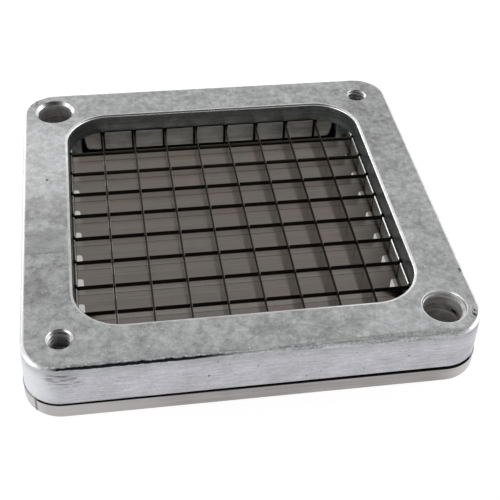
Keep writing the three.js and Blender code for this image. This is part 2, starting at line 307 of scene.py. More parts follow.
def pocket_cutters():
    """The pockets over the four bars, open to the seam below."""
    far = POCKET_OUTER
    near = GRID_HALF - POCKET_OVERRUN
    outlines = (
        ((-POCKET_END, near), (POCKET_END, far)),
        ((-far, -POCKET_END), (-near, POCKET_END)),
        ((-POCKET_END, -far), (POCKET_END, -near)),
        ((near, -POCKET_END), (far, POCKET_END)),
    )
    return [box_cutter((*low, FRAME_BOTTOM - OVERRUN), (*high, POCKET_ROOF)) for low, high in outlines]


def frame_hole_cutters(side):
    """The plain and the tapped hole on one side: back left and front left at -1, the others at 1."""
    at = side * HOLE_CENTRE
    mouth, shift = (STEPPED_MOUTH, STEPPED_MOUTH_SHIFT) if side > 0 else (PLAIN_MOUTH, 0)
    chamfer = BACK_TAPPED_CHAMFER if side > 0 else TAPPED_CHAMFER
    bolt = [(BOLT_RADIUS, FRAME_BOTTOM - OVERRUN), (BOLT_RADIUS, FRAME_TOP + OVERRUN)]
    worn = [(BOLT_RADIUS + out, FRAME_TOP - drop) for out, drop in mouth]
    tapped = [
        (THREAD_CORE, FRAME_BOTTOM - OVERRUN),
        (THREAD_CORE, FRAME_TOP - chamfer),
        (THREAD_CORE + chamfer + OVERRUN, FRAME_TOP + OVERRUN),
    ]
    return [
        turned_cutter(bolt, at, -at, BOLT_SIDES),
        turned_cutter(worn, at + shift, -at, BOLT_SIDES),
        turned_cutter(tapped, at, at, TAPPED_SIDES),
        thread_cutter(at, at),
    ]


def make_frame():
    outer = [long_ring(FOOT_HALF, FOOT_HALF - CORNER_CENTRE, FRAME_BOTTOM, CORNER_STEPS, SIDE_PIECES)]
    outer += rolled_edge(TOP_HALF, frame_edge, FRAME_TOP, 1, CORNER_STEPS, EDGE_STEPS, SIDE_PIECES)
    inner = [(OPENING_HALF + out, OPENING_CORNER + out, FRAME_TOP - drop) for out, drop in OPENING_FLARE]
    inner.append((OPENING_HALF, OPENING_CORNER, FRAME_BOTTOM))
    rings = outer + [long_ring(*place, CORNER_STEPS, SIDE_PIECES) for place in inner]
    for ring in (0, len(rings) - 1):
        rings[ring] = [(x, y, seam_height(x, y)) for x, y, z in rings[ring]]
    piece = mesh_object("frame_casting", *loft(rings, True))
    cut(piece, pocket_cutters() + frame_hole_cutters(-1) + frame_hole_cutters(1))
    return piece


# The base plate

def plate_hole_cutters(side):
    at = side * HOLE_CENTRE
    bolt = [
        (BOLT_RADIUS + BOLT_CHAMFER + OVERRUN, -OVERRUN),
        (BOLT_RADIUS, BOLT_CHAMFER),
        (BOLT_RADIUS, PLATE_TOP + OVERRUN),
    ]
    screw = [
        (SCREW_SEAT, -OVERRUN),
        (SCREW_SEAT, 0),
        (SCREW_BORE, SCREW_DEPTH),
        (SCREW_BORE, PLATE_TOP + OVERRUN),
    ]
    return [turned_cutter(bolt, at, -at, BOLT_SIDES), turned_cutter(screw, at, at, BOLT_SIDES)]


def make_plate():
    foot = rolled_edge(PLATE_HALF, lambda x, y: PLATE_FOOT, 0, -1, CORNER_STEPS, EDGE_STEPS, 1)
    walls = [
        (PLATE_HALF, PLATE_CORNER, PLATE_TOP),
        (OPENING_HALF, OPENING_CORNER, PLATE_TOP),
        (OPENING_HALF, OPENING_CORNER, PLATE_CHAMFER),
        (OPENING_HALF + PLATE_CHAMFER, OPENING_CORNER + PLATE_CHAMFER, 0),
    ]
    rings = list(reversed(foot)) + [square_ring(*place, CORNER_STEPS) for place in walls]
    piece = mesh_object("plate_blank", *loft(rings, True))
    cut(piece, plate_hole_cutters(-1) + plate_hole_cutters(1))
    return piece


# Materials

# Shares of a patch's radius and of an arc's width that are full before it fades
PATCH_CORE_SHARE = 0.15
ARC_CORE_SHARE = 0.3


def grey(value, tint=(1.0, 1.0, 1.0)):
    return tuple(value * t for t in tint) + (1.0,)


class Shader:
    """A material whose nodes are added by short calls. Noise scales count per metre."""

    def __init__(self, name):
        self.material = bpy.data.materials.new(name)
        self.material.use_nodes = True
        self.tree = self.material.node_tree
        self.tree.nodes.clear()
        coordinates = self.node("ShaderNodeTexCoord").outputs
        self.place = coordinates["Object"]
        self.normal = coordinates["Normal"]

    def node(self, kind, settings=None, **inputs):
        made = self.tree.nodes.new(kind)
        for name, value in (settings or {}).items():
            setattr(made, name, value)
        for name, value in inputs.items():
            self.feed(made.inputs[name], value)
        return made

    def feed(self, socket, value):
        if isinstance(value, bpy.types.NodeSocket):
            self.tree.links.new(value, socket)
        else:
            socket.default_value = value

    def axes(self, vector):
        return self.node("ShaderNodeSeparateXYZ", Vector=vector).outputs

    def stretched(self, x, y, z):
        return self.node("ShaderNodeMapping", Vector=self.place, Scale=(x, y, z)).outputs[0]

    def noise(self, vector, scale, detail=3.0, roughness=0.5, distortion=0.0):
        return self.node(
            "ShaderNodeTexNoise", Vector=vector, Scale=scale, Detail=detail, Roughness=roughness,
            Distortion=distortion,
        ).outputs["Fac"]

    def math(self, operation, a, b=0.0):
        made = self.node("ShaderNodeMath", {"operation": operation})
        self.feed(made.inputs[0], a)
        self.feed(made.inputs[1], b)
        return made.outputs[0]

    def fold(self, operation, first, rest):
        total = first
        for value in rest:
            total = self.math(operation, total, value)
        return total

    def times(self, first, *rest):
        return self.fold("MULTIPLY", first, rest)

    def largest(self, first, *rest):
        return self.fold("MAXIMUM", first, rest)

    def weighted(self, *parts):
        """Sum of values times their weights."""
        total = 0.0
        for value, weight in parts:
            total = self.math("ADD", self.times(value, weight), total)
        return total

    def spread(self, value, low, high, to_low=0.0, to_high=1.0, smooth=False):
        """Carries the range from low to high over to another range and stops at its ends."""
        made = self.node("ShaderNodeMapRange", {"interpolation_type": "SMOOTHSTEP" if smooth else "LINEAR"})
        for socket, number in zip(made.inputs[:5], (value, low, high, to_low, to_high)):
            self.feed(socket, number)
        return made.outputs[0]

    def along(self, axis, low, high, to_low=0.0, to_high=1.0, smooth=False):
        """A spread between two places in millimetres on an axis."""
        return self.spread(axis, low * MM, high * MM, to_low, to_high, smooth)

    def between(self, axis, start, end):
        """One from start to end on an axis; each is a pair of places that the change runs over."""
        return self.times(self.along(axis, *start), self.along(axis, *end, 1.0, 0.0))

    def line(self, axis, place, core, edge, strength=1.0):
        """A line across an axis, full as far as core from its place and gone at edge."""
        off = self.math("ABSOLUTE", self.math("SUBTRACT", axis, place * MM))
        return self.along(off, core, edge, strength, 0.0)

    def square_reach(self, x, y):
        """How far out a place is, measured squarely from the middle."""
        return self.largest(self.math("ABSOLUTE", x), self.math("ABSOLUTE", y))

    def distance(self, vector, place):
        made = self.node("ShaderNodeVectorMath", {"operation": "DISTANCE"})
        self.feed(made.inputs[0], vector)
        self.feed(made.inputs[1], tuple(c * MM for c in place))
        return made.outputs["Value"]

    def patch(self, x, y, z, radius):
        """One at a place, falling softly to nothing at the radius."""
        away = self.distance(self.place, (x, y, z))
        return self.along(away, PATCH_CORE_SHARE * radius, radius, 1.0, 0.0, True)

    def arc(self, x, y, radius, width):
        """A thin line along a circle about a vertical axis."""
        flat = self.node("ShaderNodeVectorMath", {"operation": "MULTIPLY"})
        self.feed(flat.inputs[0], self.place)
        self.feed(flat.inputs[1], (1, 1, 0))
        away = self.distance(flat.outputs[0], (x, y, 0))
        return self.line(away, radius, ARC_CORE_SHARE * width, width)

    def blend(self, factor, a, b):
        made = self.node("ShaderNodeMix", {"data_type": "RGBA"})
        self.feed(made.inputs[0], factor)
        self.feed(made.inputs[6], a)
        self.feed(made.inputs[7], b)
        return made.outputs[2]

    def bump(self, height, strength, distance, normal=None):
        """Relief of a height map; distance in millimetres."""
        made = self.node("ShaderNodeBump", Height=height, Strength=strength, Distance=distance * MM)
        if normal is not None:
            self.feed(made.inputs["Normal"], normal)
        return made.outputs[0]

    def output(self, surface):
        made = self.node("ShaderNodeOutputMaterial")
        self.tree.links.new(surface.outputs[0], made.inputs[0])
        return self.material

    def finish(self, colour, roughness, normal, metallic=1.0, specular=0.5):
        principled = self.node("ShaderNodeBsdfPrincipled", Roughness=roughness, Metallic=metallic)
        self.feed(principled.inputs["Normal"], normal)
        self.feed(principled.inputs["Base Color"], colour)
        self.feed(principled.inputs["Specular IOR Level"], specular)
        return self.output(principled)


# Marks on the top face: x, y and radius, the patches of painted light and shade also with how much lighter
# and the pit with its z.
# The scratches are arcs about their x and y.
TOP_LIGHT_AND_SHADE = (
    (-51, 24, 28, 0.75), (-50, -28, 17, -0.42), (40, -52, 26, 0.36), (50, 34, 26, -0.34),
    (-10, 50, 34, -0.05),
)
TOP_SCRATCHES = ((-60, -190, 188), (-70, -200, 205), (24, -62, 13), (8, -66, 17))
TOP_DENTS = ((54.4, -50.2, 2.6), (55.6, -35, 1.3), (-54, 52.5, 2.4))
TOP_PIT = (-49.7, 13.9, FRAME_TOP, 0.6)

# Marks across the left rim: where the rim ends, and where along y each mark starts and ends
LEFT_RIM = (-45.5, -44.5)
DULL_BAND = ((-3.5, -3), (5.5, 6))
SMEAR = ((-17.3, -16.2), (-8.2, -7.2))
SMEAR_LINES = (-9.2, -16.5)


def cast_top_material():
    """The cast top: cloudy and pitted, with a smear on the left rim and dents at the corners."""
    s = Shader("cast_top")
    x, y = s.axes(s.place)[:2]
    clouds = s.noise(s.place, 170, 3, 0.55, 0.5)
    mottle = s.noise(s.place, 620, 4, 0.65, 0.3)
    grain = s.noise(s.place, 2300, 3, 0.7)
    tone = s.spread(s.weighted((clouds, 0.34), (mottle, 0.4), (grain, 0.26)), 0.4, 0.6, -0.05, 1.05)
    # Painted light and shade: broad patches lighter or darker across the top face
    for at_x, at_y, radius, lighter in TOP_LIGHT_AND_SHADE:
        tone = s.math("ADD", tone, s.times(s.patch(at_x, at_y, FRAME_TOP, radius), lighter))
    colour = s.blend(s.spread(tone, -0.3, 1.9), grey(0.28), grey(0.79, (0.985, 1.0, 1.01)))

    on_left = s.along(x, *LEFT_RIM, 1.0, 0.0)
    band = s.times(s.between(y, *DULL_BAND), on_left, 0.16)
    colour = s.blend(band, colour, grey(0.3, (1.0, 0.96, 0.9)))
    smear = s.times(s.between(y, *SMEAR), on_left, s.spread(mottle, 0.35, 0.6, 0.05, 0.34))
    colour = s.blend(smear, colour, grey(0.22))
    for place in SMEAR_LINES:
        line = s.times(s.line(y, place, 0.1, 0.45, 0.4), on_left, s.spread(clouds, 0.4, 0.5))
        colour = s.blend(line, colour, grey(0.12))
    for at_x, at_y, radius in TOP_SCRATCHES:
        scratch = s.times(s.arc(at_x, at_y, radius, 0.3), s.spread(mottle, 0.4, 0.55), 0.3)
        colour = s.blend(scratch, colour, grey(0.16))

    pits = s.spread(s.noise(s.place, 1500, 1, 0.5), 0.745, 0.78)
    pits = s.largest(pits, s.spread(s.patch(*TOP_PIT), 0.2, 0.6))
    nicks = s.spread(s.noise(s.place, 1150, 1, 0.5), 0.765, 0.8)
    colour = s.blend(pits, colour, grey(0.08))
    colour = s.blend(nicks, colour, grey(0.9))
    dents = s.noise(s.stretched(1500, 700, 1500), 1.0, 2, 0.6)
    for at_x, at_y, radius in TOP_DENTS:
        dent = s.spread(s.patch(at_x, at_y, FRAME_TOP, radius), 0, 0.4)
        colour = s.blend(s.times(dent, s.spread(dents, 0.53, 0.57)), colour, grey(0.03))
    roughness = s.spread(mottle, 0.3, 0.7, 0.5, 0.36)
    height = s.weighted((mottle, 0.6), (grain, 0.4), (pits, -1.0))
    return s.finish(colour, roughness, s.bump(height, 0.5, 0.06))


# Marks on the sides: x, y, z and radius
SIDE_STROKES = ((-48.5, -PLATE_HALF, 13.6, 4.5), (-45.5, -PLATE_HALF, 12.8, 4.5))
SIDE_STAIN = (-PLATE_HALF, -44, 10.5, 6)

# Where the painted highlight at the front corners fades, along x on either side and along y, and where
# along z the scuffs under the top edge start
SIDE_HIGHLIGHT_LEFT = (-56, -47)
SIDE_HIGHLIGHT_RIGHT = (52, 56.5)
SIDE_HIGHLIGHT_FRONT = (-46, -30)
SCUFFED_HEIGHT = (12.5, 16.5)


def side_material():
    """The linished sides: short strokes along the wall, with a painted highlight at the front corners."""
    s = Shader("linished_side")
    x, y, z = s.axes(s.place)
    fine = s.noise(s.stretched(140, 140, 3000), 1.0, 4, 0.65, 0.4)
    short = s.noise(s.stretched(420, 420, 3600), 1.0, 2, 0.6, 0.6)
    cloud = s.noise(s.place, 130, 4, 0.6)
    speck = s.noise(s.place, 1900, 3, 0.65)
    tone = s.spread(s.weighted((fine, 0.34), (short, 0.2), (cloud, 0.26), (speck, 0.2)), 0.39, 0.61)
    colour = s.blend(tone, grey(0.36, (0.975, 0.975, 1.03)), grey(0.61, (0.965, 0.965, 1.04)))

    # Painted highlight: the front corners lighter
    side_corner_highlight = s.largest(s.along(x, *SIDE_HIGHLIGHT_LEFT, 0.8, 0.0, True), s.along(x, *SIDE_HIGHLIGHT_RIGHT, 0.0, 0.3))
    side_corner_highlight = s.times(side_corner_highlight, s.along(y, *SIDE_HIGHLIGHT_FRONT, 1.0, 0.0, True))
    colour = s.blend(side_corner_highlight, colour, grey(0.84, (0.97, 0.99, 1.02)))
    scuffed = s.along(z, *SCUFFED_HEIGHT, 0.0, 1.0, True)
    scuffed = s.times(scuffed, s.spread(short, 0.36, 0.56), 0.55)
    colour = s.blend(scuffed, colour, grey(0.24, (0.98, 1.0, 0.99)))
    strokes = s.spread(s.noise(s.stretched(260, 260, 2100), 1.0, 3, 0.6, 0.8), 0.47, 0.56)
    for place in SIDE_STROKES:
        colour = s.blend(s.times(s.patch(*place), strokes, 0.75), colour, grey(0.1))
    stain = s.times(s.patch(*SIDE_STAIN), s.spread(cloud, 0.4, 0.55), 0.6)
    colour = s.blend(stain, colour, grey(0.2, (1.0, 0.97, 0.88)))
    pits = s.spread(s.noise(s.place, 1300, 1, 0.5), 0.76, 0.79)
    colour = s.blend(pits, colour, grey(0.12))
    roughness = s.spread(fine, 0.3, 0.7, 0.52, 0.38)
    height = s.weighted((fine, 0.6), (short, 0.4), (pits, -0.8))
    return s.finish(colour, roughness, s.bump(height, 0.5, 0.05))


# Where the duller stretches of the edges fade: the left side's strip along x, and at the near left of
# the opening outwards, along y and along x
DULL_STRIP = (-54.8, -53.5)
DULL_RIM_REACH = (45.5, 47)
DULL_RIM_BACK = (5, 25)
DULL_RIM_RIGHT = (0, 30)


def edge_material():
    """Edges rubbed bright, with a duller strip on the left side and at the near left of the opening."""
    s = Shader("rubbed_edge")
    x, y = s.axes(s.place)[:2]
    nicks = s.noise(s.place, 420, 4, 0.7)
    fine = s.noise(s.place, 2200, 2, 0.5)
    colour = s.blend(s.spread(nicks, 0.35, 0.65), grey(0.74), grey(0.97))
    colour = s.blend(s.along(x, *DULL_STRIP, 0.9, 0.0), colour, grey(0.64))
    rim = s.along(s.square_reach(x, y), *DULL_RIM_REACH, 1.0, 0.0)
    rim = s.times(rim, s.along(y, *DULL_RIM_BACK, 0.55, 0.0), s.along(x, *DULL_RIM_RIGHT, 1.0, 0.0))
    colour = s.blend(rim, colour, grey(0.32))
    roughness = s.spread(nicks, 0.35, 0.7, 0.36, 0.22)
    return s.finish(colour, roughness, s.bump(fine, 0.35, 0.03))


# Along the front edge: where the painted dark reflection starts and ends, where the light nicks start to
# give way to the scratched right half, and where the painted highlights at the corners end and start
DARK_REFLECTION = ((-50.5, -48), (-14, -2))
NICKS_END = (0, 20)
EDGE_HIGHLIGHT_LEFT_END = (-54.5, -50.5)
EDGE_HIGHLIGHT_RIGHT_START = (48.5, 52.5)


def front_edge_material():
    """The rolled front edge: a painted dark reflection on the left, scratched and matt on the right."""
    s = Shader("rolled_front_edge")
    x = s.axes(s.place)[0]
    facing_up = s.axes(s.normal)[2]
    streaks = s.noise(s.stretched(120, 1800, 2600), 1.0, 4, 0.65, 0.5)
    grain = s.noise(s.place, 1500, 3, 0.6)
    tone = s.spread(s.weighted((streaks, 0.6), (grain, 0.4)), 0.4, 0.6)
    colour = s.blend(tone, grey(0.36), grey(0.85, (0.98, 1.0, 1.01)))

    nicked = s.times(s.spread(s.noise(s.place, 800, 3, 0.65), 0.56, 0.62), s.spread(facing_up, 0.74, 0.84))
    colour = s.blend(s.times(nicked, s.along(x, *NICKS_END, 1.0, 0.0)), colour, grey(1.0))
    # Painted dark reflection: a ragged line on the left, where the edge faces up at middling angles
    ragged = s.times(s.math("SUBTRACT", s.noise(s.place, 500, 3, 0.6), 0.5), 0.5)
    level = s.math("ADD", facing_up, ragged)
    dark_reflection = s.times(s.spread(level, 0.2, 0.3), s.spread(level, 0.74, 0.88, 1.0, 0.0))
    dark_reflection = s.times(dark_reflection, s.between(x, *DARK_REFLECTION))
    colour = s.blend(dark_reflection, colour, grey(0.02, (0.9, 0.98, 1.1)))
    # Painted highlight at the front corners
    edge_corner_highlight = s.along(x, *EDGE_HIGHLIGHT_LEFT_END, 1.0, 0.0, True)
    edge_corner_highlight = s.math("ADD", edge_corner_highlight, s.along(x, *EDGE_HIGHLIGHT_RIGHT_START, 0.0, 1.0, True))
    colour = s.blend(edge_corner_highlight, colour, grey(0.84))
    roughness = s.spread(edge_corner_highlight, 0.0, 1.0, 0.5, 0.25)
    height = s.weighted((streaks, 0.7), (grain, 0.3))
    return s.finish(colour, roughness, s.bump(height, 0.4, 0.06), s.largest(edge_corner_highlight, dark_reflection, 0.3))


# Where the stain on the opening's back wall starts along y, and where it fades along x
WALL_STAIN_START = (36, 42)
WALL_STAIN_END = (30, 38)


def wall_material():
    """The opening's machined wall, with a stain at the back."""
    s = Shader("machined_wall")
    x, y = s.axes(s.place)[:2]
    streaks = s.noise(s.stretched(60, 60, 1800), 1.0, 4, 0.65, 0.3)
    cloud = s.noise(s.place, 260, 4, 0.65)
    tone = s.spread(s.weighted((streaks, 0.45), (cloud, 0.55)), 0.38, 0.62)
    colour = s.blend(tone, grey(0.33, (0.9, 1.02, 1.03)), grey(0.76, (0.92, 1.01, 1.02)))
    stain = s.times(s.along(y, *WALL_STAIN_START), s.along(x, *WALL_STAIN_END, 0.16, 0.0))
    colour = s.blend(stain, colour, grey(0.12, (0.95, 1.0, 1.0)))
    roughness = s.spread(cloud, 0.3, 0.7, 0.4, 0.26)
    return s.finish(colour, roughness, s.bump(streaks, 0.4, 0.04))


# In the holes: heights that the painted shade further down fades over, the back left hole's painted shade as
# y less x, and the painted shade line in the front right hole, with its height and where it starts along x
# and y
BORE_SHADE = (6.5, 11.5)
BACK_LEFT_HOLE_SHADE = (80, 85)
SHADE_LINE_HEIGHT = 12.2
SHADE_LINE_START_X = (49.7, 51)
SHADE_LINE_START_Y = (-46.5, -45.7)


def bore_material():
    """The holes: rings of the drill, with painted shade further down and a painted shade line in the front
    right hole.
    """
    s = Shader("drilled_bore")
    x, y, z = s.axes(s.place)
    rings = s.noise(s.stretched(14, 14, 2300), 1.0, 4, 0.65, 0.2)
    stain = s.noise(s.place, 420, 3, 0.6)
    tone = s.spread(s.weighted((rings, 0.65), (stain, 0.35)), 0.4, 0.6)
    colour = s.blend(tone, grey(0.44, (1.0, 0.99, 0.96)), grey(1.0))
    # Painted shade: the bores darker further down
    deep_shade = s.along(z, *BORE_SHADE, 0.62, 0.0, True)
    colour = s.blend(deep_shade, colour, grey(0.07, (1.0, 0.94, 0.84)))
    # Painted shade: the back left hole darker
    back_left_shade = s.along(s.math("SUBTRACT", y, x), *BACK_LEFT_HOLE_SHADE, 0.0, 0.22)
    colour = s.blend(back_left_shade, colour, grey(0.1))
    # Painted shade: a dark line partway down the front right hole
    groove = s.times(s.line(z, SHADE_LINE_HEIGHT, 0.35, 0.6), s.spread(stain, 0.3, 0.45))
    groove = s.times(groove, s.along(x, *SHADE_LINE_START_X), s.along(y, *SHADE_LINE_START_Y))
    colour = s.blend(groove, colour, grey(0.015))
    roughness = s.spread(rings, 0.3, 0.7, 0.5, 0.34)
    return s.finish(colour, roughness, s.bump(rings, 0.9, 0.15), 0.7)


# The plate's ends, lighter by painted light, along x: the left half, the left corner and the right corner
LIT_LEFT_HALF = (-50, -10)
LIT_LEFT_CORNER = (-54, -48)
LIT_RIGHT_CORNER = (44, 54)

# Two fine scratches near the plate's front left corner, as places along a slanted axis, and where along x
# they end
PLATE_SCRATCHES = (-18.56, -18.96)
SCRATCH_SLANT = (0.86, -0.51)
SCRATCH_END = (-51, -50)

# Where the plate's opening ends outwards, and the height from which it is in the bars' shade
PLATE_OPENING = (44.5, 46)
PLATE_SHADE_HEIGHT = (2.6, 2.8)

# Where the seam's black painted shade starts and ends, from left to right
SEAM_SHADE_START = (-54.5, -53.2)
SEAM_SHADE_END = (53.8, 54.6)


def plate_material():
    """The smoother and warmer plate, with painted light at its ends and black painted shade where it goes
    into the seam.
    """
    s = Shader("satin_plate")
    x, y, z = s.axes(s.place)
    streaks = s.noise(s.stretched(40, 40, 1500), 1.0, 3, 0.5, 0.2)
    cloud = s.noise(s.place, 90, 3, 0.5)
    tone = s.spread(s.weighted((streaks, 0.5), (cloud, 0.5)), 0.36, 0.64)
    colour = s.blend(tone, grey(0.27, (1.0, 0.95, 0.93)), grey(0.36, (1.0, 0.955, 0.935)))
    # Painted light: the plate's ends lighter
    lit_ends = s.largest(
        s.along(x, *LIT_LEFT_HALF, 0.6, 0.0),
        s.along(x, *LIT_RIGHT_CORNER, 0.0, 0.9, True),
        s.along(x, *LIT_LEFT_CORNER, 1.0, 0.0, True),
    )
    colour = s.blend(lit_ends, colour, grey(0.54, (1.0, 0.975, 0.96)))
    slanted = s.math("ADD", s.times(x, SCRATCH_SLANT[0]), s.times(y, SCRATCH_SLANT[1]))
    for place in PLATE_SCRATCHES:
        scratch = s.times(s.line(slanted, place, 0.1, 0.25), s.along(x, *SCRATCH_END, 1.0, 0.0), 0.75)
        colour = s.blend(scratch, colour, grey(0.05))

    # Painted shade: black where the plate goes into the seam
    seam_shade_mask = s.times(s.along(z, PLATE_TOP - 0.2, PLATE_TOP - 0.14), s.between(x, SEAM_SHADE_START, SEAM_SHADE_END))
    colour = s.blend(seam_shade_mask, colour, grey(0.01))
    level = s.math("ABSOLUTE", s.axes(s.normal)[2])
    opening = s.along(s.square_reach(x, y), *PLATE_OPENING, 1.0, 0.0)
    opening = s.times(opening, s.spread(level, 0.4, 0.6, 1.0, 0.0))
    colour = s.blend(opening, colour, grey(0.92, (1.0, 0.97, 0.92)))
    colour = s.blend(s.times(opening, s.along(z, *PLATE_SHADE_HEIGHT)), colour, grey(0.006))
    roughness = s.spread(streaks, 0.3, 0.7, 0.4, 0.3)
    return s.finish(colour, roughness, s.bump(streaks, 0.25, 0.03))


def seam_material():
    """Painted black shade inside the seam, all along but its two ends."""
    s = Shader("painted_seam_shade")
    x = s.axes(s.place)[0]
    marks = s.noise(s.place, 500, 3, 0.6)
    colour = s.blend(s.spread(marks, 0.3, 0.7), grey(0.006), grey(0.02))
    # The seam's two ends keep a light grey, free of the painted shade
    shade_free_ends = s.largest(s.along(x, *SEAM_SHADE_START, 1.0, 0.0), s.along(x, *SEAM_SHADE_END))
    colour = s.blend(shade_free_ends, colour, grey(0.75, (0.98, 0.99, 1.0)))
    return s.finish(colour, s.spread(marks, 0.3, 0.7, 0.9, 0.7), s.bump(marks, 0.3, 0.05), 0.0, 0.0)


# Painted shade on the blades towards the right, along x, and painted light on their bevels towards the back,
# along y
SHADED_BLADE_ENDS = (34, 41.5)
LIT_BEVELS = (12, 36)


def blade_material():
    """Polished strip with painted light above the grind line and painted shade: left faces, right ends,
    bevel, and black in a bar.
    """
    s = Shader("blade_steel")
    x, y, z = s.axes(s.place)
    streaks = s.noise(s.stretched(22, 22, 2600), 1.0, 4, 0.6, 0.15)
    tint = s.noise(s.place, 110, 3, 0.55)
    waves = s.noise(s.place, 45, 2, 0.5)
    tone = s.spread(s.weighted((streaks, 0.65), (tint, 0.35)), 0.38, 0.62)
    colour = s.blend(tone, grey(0.62, (1.0, 0.965, 0.93)), grey(0.78, (1.0, 0.96, 0.93)))
    colour = s.blend(s.spread(tint, 0.48, 0.62, 0.0, 0.6), colour, grey(0.7, (1.05, 0.92, 0.89)))
    # Painted light: lighter above the grind line
    lit_above_grind = s.times(s.along(z, GRIND_LINE, GRIND_LINE + 0.2), 0.7)
    colour = s.blend(lit_above_grind, colour, grey(0.92, (1.0, 0.96, 0.93)))

    # Painted shade on faces that look left
    left_face_shade = s.spread(s.axes(s.normal)[0], -0.9, -0.5, 0.7, 0.0)
    colour = s.blend(left_face_shade, colour, grey(0.12, (1.0, 0.96, 0.92)))
    # Painted shade towards the right ends
    right_end_shade = s.along(x, *SHADED_BLADE_ENDS, 0.0, 0.62)
    colour = s.blend(right_end_shade, colour, grey(0.2, (1.0, 0.94, 0.93)))
    colour = s.blend(s.times(s.line(z, GRIND_LINE, 0.06, 0.18), 0.6), colour, grey(0.15))
    # Painted dark reflection on the bevel, with a painted lit strip along its top towards the back
    lit = s.times(s.along(z, BEVEL_LINE + 0.45, BEVEL_LINE + 0.6), s.along(y, *LIT_BEVELS, 0.0, 0.6, True))
    bevel_dark_reflection = s.blend(lit, grey(0.035, (1.0, 0.95, 0.82)), grey(0.24, (1.0, 1.0, 0.86)))
    bevel = s.along(z, BEVEL_LINE - 0.3, BEVEL_LINE - 0.1)
    colour = s.blend(bevel, colour, bevel_dark_reflection)
    # Painted shade: black where the blade sits in a bar
    seated_shade = s.along(s.square_reach(x, y), GRID_HALF - 0.1, GRID_HALF + 0.05)
    colour = s.blend(seated_shade, colour, grey(0.01))
    roughness = s.math("ADD", s.spread(streaks, 0.3, 0.7, 0.22, 0.12), s.times(bevel, 0.2))
    return s.finish(colour, roughness, s.bump(streaks, 0.2, 0.02, s.bump(waves, 0.3, 0.4)))


# How far from the middle of a slot its shade, its mouth's shade and the gap in the rim's painted highlight
# reach
SLOT_SHADE = (0.45, 0.52)
MOUTH_SHADE = (0.7, 0.78)
RIM_HIGHLIGHT_GAP = (0.6, 0.9)

# How much lower the foot's shade ends towards the back, along y, and how much higher on the right bar,
# along x
BACK_SHADE_DROP = 0.1
BACK_SHADE_FADE = (0, 40)
RIGHT_SHADE_RISE = 1.3
RIGHT_BAR = (41, 41.5)


def bar_material():
    """Milled bars with a painted highlight on the rim, painted shade on the top, and black painted shade in
    slots and at the foot.
    """
    s = Shader("milled_bar")
    x, y, z = s.axes(s.place)
    facing_up = s.axes(s.normal)[2]
    streaks = s.noise(s.stretched(60, 60, 1600), 1.0, 4, 0.65, 0.2)
    stain = s.noise(s.place, 320, 3, 0.6)
    tone = s.spread(s.weighted((streaks, 0.6), (stain, 0.4)), 0.38, 0.62)
    colour = s.blend(tone, grey(0.5, (0.98, 1.0, 0.96)), grey(0.82, (0.98, 1.0, 0.97)))

    sideways = s.math("MINIMUM", s.math("ABSOLUTE", x), s.math("ABSOLUTE", y))
    half_cell = CELL / 2 * MM
    from_slot = s.math("PINGPONG", s.math("ADD", sideways, half_cell), half_cell)
    # Painted highlight on the rim, away from the slots
    rim = s.times(s.spread(facing_up, 0.2, 0.3), s.spread(facing_up, 0.9, 0.96, 1.0, 0.0))
    colour = s.blend(s.times(rim, s.along(from_slot, *RIM_HIGHLIGHT_GAP)), colour, grey(0.8))
    # Painted shade on the bar's top, under the frame's overhang
    colour = s.blend(s.spread(facing_up, 0.93, 0.97), colour, grey(0.03))
    # Painted shade: black in the slots, at their mouths and at the foot
    slot = s.along(from_slot, *SLOT_SHADE, 1.0, 0.0)
    mouth = s.times(s.along(from_slot, *MOUTH_SHADE, 1.0, 0.0), s.spread(facing_up, 0.1, 0.2))
    raised = s.math("ADD", z, s.along(y, *BACK_SHADE_FADE, 0.0, BACK_SHADE_DROP * MM))
    raised = s.math("ADD", raised, s.along(x, *RIGHT_BAR, 0.0, -RIGHT_SHADE_RISE * MM))
    foot_height = PLATE_TOP + BAR_REBATE
    foot = s.along(raised, foot_height, foot_height + 0.06, 1.0, 0.0)
    colour = s.blend(s.largest(slot, mouth, foot), colour, grey(0.006))
    roughness = s.spread(streaks, 0.3, 0.7, 0.42, 0.3)
    return s.finish(colour, roughness, s.bump(streaks, 0.3, 0.03))


def fixing_material():
    s = Shader("fixing_steel")
    marks = s.noise(s.place, 700, 3, 0.6)
    colour = s.blend(s.spread(marks, 0.3, 0.7), grey(0.5), grey(0.66))
    return s.finish(colour, s.spread(marks, 0.3, 0.7, 0.4, 0.26), s.bump(marks, 0.3, 0.03))


finishes = {
    "top": cast_top_material(),
    "side": side_material(),
    "front": front_edge_material(),
    "seam": seam_material(),
    "edge": edge_material(),
    "wall": wall_material(),
    "bore": bore_material(),
    "plate": plate_material(),
    "blade": blade_material(),
    "bar": bar_material(),
    "fixing": fixing_material(),
}


# The frame and the plate, with their finish chosen by where each face is

# How far up a face looks to count as the level top, as sloping, or as a hole's mouth, and how far up or
# down to count as one side of the seam
LEVEL_UP = 0.99
SLOPING_UP = 0.12
MOUTH_UP = 0.2
SEAM_FACING = 0.9

# Faces this near to a plain hole's wall, or to a tapped hole's core, belong to the hole
BOLT_MARGIN = 1
CORE_MARGIN = 0.1


def paint(piece, names, chooser):
    for name in names:
        piece.data.materials.append(finishes[name])
    for face in piece.data.polygons:
        face.material_index = names.index(chooser(face.center / MM, face.normal))
        face.use_smooth = True


